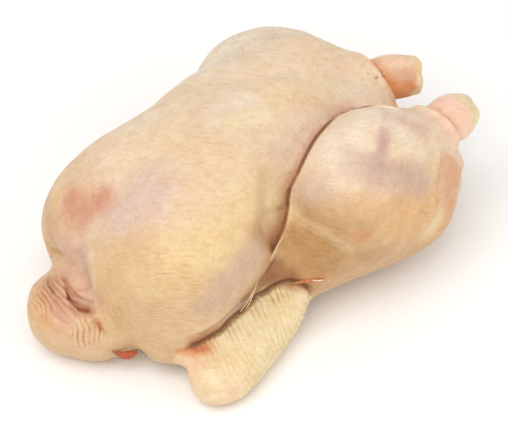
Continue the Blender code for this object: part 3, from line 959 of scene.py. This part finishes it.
# Rings of the bare bone ends: place along the shank, half width, half height, in millimetres.
HOCKS = (
    (
        "near_hock",
        ((-9, 10, 10), (-3, 12, 11.5), (3, 12.8, 12.5), (9, 13.6, 13.4), (15, 13.6, 13.4),
         (20, 12.2, 12), (24, 10.6, 10.6), (25.5, 9.8, 9.8), (26, 9.2, 9.2)),
    ),
    (
        "far_hock",
        ((-7, 10, 10), (2, 11.5, 11), (9, 12.6, 12), (15, 12.8, 12.5), (20, 12.2, 12), (26, 11, 11),
         (27.2, 10.8, 10.8), (27.6, 10.2, 10.2)),
    ),
)


# The bone end: how far its cut end is domed, and the groove between its two knobs.
DOME_HEIGHT, GROOVE_HALF_WIDTH, GROOVE_DEPTH = 0.96, 3.0, 1.0


def drawn_out(name, corners, rises, insets=0):
    """A disc drawn out by each rise in turn, its end then inset, and its points.

    It is a unit wide to each side, and its points count in units.
    """
    bpy.ops.object.select_all(action="DESELECT")
    bpy.ops.mesh.primitive_circle_add(vertices=corners, radius=1, fill_type="NGON")
    piece = bpy.context.object
    piece.name = name
    edit_whole(piece)
    for rise in rises:
        bpy.ops.mesh.extrude_region_move(TRANSFORM_OT_translate={"value": (0, 0, rise)})
    for _ in range(insets):
        bpy.ops.mesh.inset(thickness=0.3)
    bpy.ops.object.mode_set(mode="OBJECT")
    return piece, points_of(piece) * MM


def rounded(piece, points):
    """Puts the points in place, turns the faces outwards, rounds all and gives the new points."""
    set_points(piece, points)
    edit_whole(piece)
    bpy.ops.mesh.normals_make_consistent(inside=False)
    bpy.ops.object.mode_set(mode="OBJECT")
    apply_modifier(piece, "SUBSURF", levels=2, render_levels=2)
    return points_of(piece)


def bone_end(name, rings, start, end, seed):
    """A bare bone end: a stub drawn out ring by ring, with two knobs and a groove between them."""
    rises = [upper[0] - lower[0] for lower, upper in zip(rings, rings[1:])]
    stub, points = drawn_out(name, 40, rises, insets=2)
    # every ring gets its own half widths, and the cut end is domed
    points[:, 2] += rings[0][0]
    radius = np.hypot(points[:, 0], points[:, 1])
    heights, wide, tall = np.array(rings, float).T
    inner = (points[:, 2] > heights[-1] - 0.01) & (radius < 0.95)
    points[inner, 2] += DOME_HEIGHT * np.cos(radius[inner] * math.pi / 2)
    points[:, 0] *= np.interp(points[:, 2], heights, wide)
    points[:, 1] *= np.interp(points[:, 2], heights, tall)
    start, end = np.array(start, float), np.array(end, float)
    axis = (end - start) / np.linalg.norm(end - start)
    rise = TOWARDS - (TOWARDS @ axis) * axis
    rise /= np.linalg.norm(rise)
    side = np.cross(axis, rise)
    placed = start + points[:, :1] * side + points[:, 1:2] * rise + points[:, 2:] * axis
    points = rounded(stub, placed)
    along, off = beside_axis(points, start, end)
    tip = smooth_step((along - rings[-1][0] + 12) / 8)
    groove = np.exp(-((off @ side / GROOVE_HALF_WIDTH) ** 2)) * tip
    uneven = 0.35 * soft_noise(points, 6, seed) + 0.15 * soft_noise(points, 2.5, seed + 1)
    lift(stub, uneven - GROOVE_DEPTH * groove)
    return stub


# Tones of the bone ends: base, its top, the painted shade on its under side and how strongly, its
# cut end and how far that reaches back.
HOCK_TONES_AND_SHADE = (
    ("blush", "blush", "peach", 0.5, "fringe", 12.5),
    ("pink", "peach", "orange", 0.95, "fat_yellow", 6.5),
)


def paint_hock(stub, rings, start, end, cuff, tones_and_shade, seed):
    """Paints a bone end: lighter on top, with painted shade below and next to the skin's lip, and a
    ragged yellow rim at the cut.
    """
    points = points_of(stub)
    along, off = beside_axis(points, start, end)
    rise = off @ UPWARDS
    base, top, low, under_shade_strength, rim, rim_width = tones_and_shade
    tones = np.tile(tone_of(base), (len(points), 1))
    mottle = rough_noise(points, 5, seed)
    rim_edge = (along - rings[-1][0] + rim_width + 2.5 * soft_noise(points, 3, seed + 3)) / 2.5
    pale = np.clip(2 * soft_noise(points, 1.8, seed + 5), 0, 1)
    from_lip = along - cuff[0] + cuff[1] * rise
    for name, weight in (
        (top, 0.85 * smooth_step(0.15 + 0.12 * rise + 0.3 * mottle)),
        # painted shade next to the skin's lip, darkest at the lip itself
        ("orange", 0.7 * smooth_step((7 - from_lip) / 6 + 0.4 * mottle)),
        ("brown_red", 0.6 * smooth_step((1.8 - from_lip) / 2)),
        # painted shade on the under side
        (low, under_shade_strength * smooth_step(0.1 - 0.10 * rise + 0.3 * mottle)),
        (rim, 0.9 * smooth_step(rim_edge)),
        ("ivory", 0.45 * smooth_step(rim_edge) * pale),
    ):
        paint(tones, name, weight)
    set_tones(stub, tones)


# Loose bits: name, line, radii along it, flatness, tone and the tone mottled into it.
BITS = (
    (
        "neck_meat",
        ((-103, -31, 19), (-100, -32.5, 16.5), (-97.3, -34, 15), (-94, -35, 14.5), (-90.9, -36, 14.5)),
        (0.6, 1.5, 2.0, 2.3, 1.8, 0.5), 0.6, "red", "brown_red",
    ),
    (
        "wing_shred", ((-14, -66, 45), (-9, -68, 44.5), (-3, -69.5, 43), (2, -70, 41), (6, -70, 39)),
        (0.2, 0.6, 1.1, 0.8, 0.3), 0.5, "orange", "brown_red",
    ),
    (
        "shred_fat", ((-3, -70.5, 44), (1, -71.5, 42.5), (4, -71.5, 41)),
        (0.2, 0.45, 0.2), 0.7, "ivory", "straw",
    ),
    (
        "strand_low", ((-46.5, -66.5, 45), (-43, -66.5, 48.5), (-40, -66, 51), (-37, -64.5, 53.5)),
        (0.15, 0.26, 0.25, 0.12), 1.0, "pearl", "cream",
    ),
    (
        "strand_middle", ((-43, -67, 45.5), (-40, -66.5, 49.5), (-36.5, -65, 53), (-32.5, -62.5, 56)),
        (0.15, 0.28, 0.26, 0.12), 1.0, "pearl", "cream",
    ),
    (
        "strand_high", ((-22, -59, 61.5), (-18, -57.5, 64.5), (-13, -55, 66.5), (-9, -53.5, 67)),
        (0.12, 0.26, 0.26, 0.12), 1.0, "straw", "cream",
    ),
)


def loose_bit(name, line, radii, flatness, seed):
    """A bit of meat or skin drawn out along a line."""
    way = curve_through(line, 4)
    bit, points = drawn_out(name, 12, [1] * (len(way) - 1))
    # every ring moves to its place on the line and gets its own radius
    ring = np.clip(np.round(points[:, 2]).astype(int), 0, len(way) - 1)
    side = np.cross(np.gradient(way, axis=0), TOWARDS)
    side /= np.linalg.norm(side, axis=1)[:, None]
    radius = np.interp(ring / (len(way) - 1), np.linspace(0, 1, len(radii)), radii)[:, None]
    off = points[:, :1] * side[ring] + flatness * points[:, 1:2] * TOWARDS
    points = rounded(bit, way[ring] + radius * off)
    lift(bit, 0.25 * max(radii) * rough_noise(points, 1.2 * max(radii) + 0.5, seed))
    return bit


class CHICKEN_OT_skin(bpy.types.Operator):
    """Draws the skin over the whole bird"""

    bl_idname = "chicken.skin"
    bl_label = "Skin"

    def execute(self, context):
        settings = context.scene.chicken_skin
        skin = even_skin(settings.mesh_size)
        flatten_wings(skin)
        refine_detailed_parts(skin)
        flesh_relief(skin)
        body_relief(skin)
        painted_fold_shades = fold_relief(skin)
        cuff_relief(skin)
        wing_valley_shade = wing_relief(skin, settings)
        wrinkle_relief(skin, settings.wrinkle_depth)
        paint_skin(skin, painted_fold_shades, wing_valley_shade)
        dress(skin, skin_finish())
        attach(skin, "root")
        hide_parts("chicken")
        return {"FINISHED"}


class CHICKEN_OT_hocks(bpy.types.Operator):
    """Adds the bare bone end of each leg"""

    bl_idname = "chicken.hocks"
    bl_label = "Hock ends"

    def execute(self, context):
        finish = skin_finish("bone_end", gloss=0.36, wrinkled=False)
        for number, ((name, rings), (start, end)) in enumerate(zip(HOCKS, SHANKS)):
            stub = bone_end(name, rings, start, end, 200 + number)
            paint_hock(stub, rings, start, end, CUFFS[number], HOCK_TONES_AND_SHADE[number], 210 + 10 * number)
            dress(stub, finish)
            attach(stub, "root")
        return {"FINISHED"}


class CHICKEN_OT_bits(bpy.types.Operator):
    """Adds the bits of meat and the skin strands by the neck and the near wing"""

    bl_idname = "chicken.bits"
    bl_label = "Meat bits and strands"

    def execute(self, context):
        finish = skin_finish("meat", gloss=0.3, wrinkled=False)
        for number, (name, line, radii, flatness, tone, mottle) in enumerate(BITS):
            bit = loose_bit(name, line, radii, flatness, 300 + number)
            points = points_of(bit)
            share = np.clip(0.5 + 1.3 * rough_noise(points, 2.5, 320 + number), 0, 1)[:, None]
            set_tones(bit, (1 - share) * tone_of(tone) + share * tone_of(mottle))
            dress(bit, finish)
            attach(bit, "root")
        return {"FINISHED"}


# In metres: the floor's size, and the lights with their place, size and share of the key power.
FLOOR_SIZE = 8
LIGHTS = (("key", (-0.55, -0.25, 1.1), 0.9, 1.0), ("fill", (0.5, -0.9, 0.6), 0.9, 0.25))
DAYLIGHT_COLOUR = (1.0, 0.99, 0.97, 1)


class CHICKEN_OT_stage(bpy.types.Operator):
    """Sets the pale floor, the soft lights and the camera"""

    bl_idname = "chicken.stage"
    bl_label = "Stage"

    def execute(self, context):
        settings = context.scene.chicken_stage
        bpy.ops.object.select_all(action="DESELECT")
        bpy.ops.mesh.primitive_plane_add(size=FLOOR_SIZE)
        floor = context.object
        floor.name = "floor"
        material = bpy.data.materials.new("pale_floor")
        material.use_nodes = True
        shader = material.node_tree.nodes["Principled BSDF"]
        shader.inputs["Base Color"].default_value = (*settings.floor_colour, 1)
        shader.inputs["Roughness"].default_value = 0.9
        floor.data.materials.append(material)

        world = bpy.data.worlds.new("daylight")
        context.scene.world = world
        world.use_nodes = True
        background = world.node_tree.nodes["Background"]
        background.inputs["Color"].default_value = DAYLIGHT_COLOUR
        background.inputs["Strength"].default_value = settings.daylight

        for name, place, size, share in LIGHTS:
            bpy.ops.object.light_add(type="AREA", location=place)
            lamp = context.object
            lamp.name = name
            lamp.data.size = size
            lamp.data.energy = settings.key_power * share
            lamp.rotation_mode = "QUATERNION"
            lamp.rotation_quaternion = (-Vector(place)).to_track_quat("-Z", "Y")

        right = (PICTURE_WIDTH / 2 - RESTING_PIXEL[0]) / PIXELS_PER_MM
        up = (RESTING_PIXEL[1] - PICTURE_HEIGHT / 2) / PIXELS_PER_MM
        centre = np.array(RESTING_MIDDLE) + RIGHTWARDS * right + UPWARDS * up
        camera_data = bpy.data.cameras.new("camera")
        camera = bpy.data.objects.new("camera", camera_data)
        context.scene.collection.objects.link(camera)
        camera.location = Vector((centre + TOWARDS * CAMERA_DISTANCE) * MM)
        camera.rotation_mode = "QUATERNION"
        camera.rotation_quaternion = Vector(-TOWARDS).to_track_quat("-Z", "Y")
        camera_data.sensor_width = SENSOR_WIDTH
        camera_data.lens = PIXELS_PER_MM * CAMERA_DISTANCE * SENSOR_WIDTH / PICTURE_WIDTH
        context.scene.camera = camera
        context.scene.view_settings.view_transform = "Standard"
        return {"FINISHED"}


class VIEW3D_PT_chicken(bpy.types.Panel):
    """Lists the pieces of the chicken"""

    bl_label = "Whole raw chicken"
    bl_space_type = "VIEW_3D"
    bl_region_type = "UI"
    bl_category = "Chicken"

    def draw(self, context):
        for operator in OPERATORS:
            self.layout.operator(operator.bl_idname)
        for group in ("chicken_skin", "chicken_tones", "chicken_stage"):
            settings = getattr(context.scene, group)
            column = self.layout.column(align=True)
            for name in settings.__annotations__:
                column.prop(settings, name)


OPERATORS = (CHICKEN_OT_skin, CHICKEN_OT_hocks, CHICKEN_OT_bits, CHICKEN_OT_stage)
CLASSES = (ChickenTones, ChickenSkin, ChickenStage, *OPERATORS, VIEW3D_PT_chicken)


def register():
    for made in CLASSES:
        bpy.utils.register_class(made)
    bpy.types.Scene.chicken_tones = bpy.props.PointerProperty(type=ChickenTones)
    bpy.types.Scene.chicken_skin = bpy.props.PointerProperty(type=ChickenSkin)
    bpy.types.Scene.chicken_stage = bpy.props.PointerProperty(type=ChickenStage)


def unregister():
    for group in ("chicken_tones", "chicken_skin", "chicken_stage"):
        delattr(bpy.types.Scene, group)
    for made in reversed(CLASSES):
        bpy.utils.unregister_class(made)


def main():
    register()
    bpy.ops.chicken.skin()
    bpy.ops.chicken.hocks()
    bpy.ops.chicken.bits()
    bpy.ops.chicken.stage()


if __name__ == "__main__":
    main()
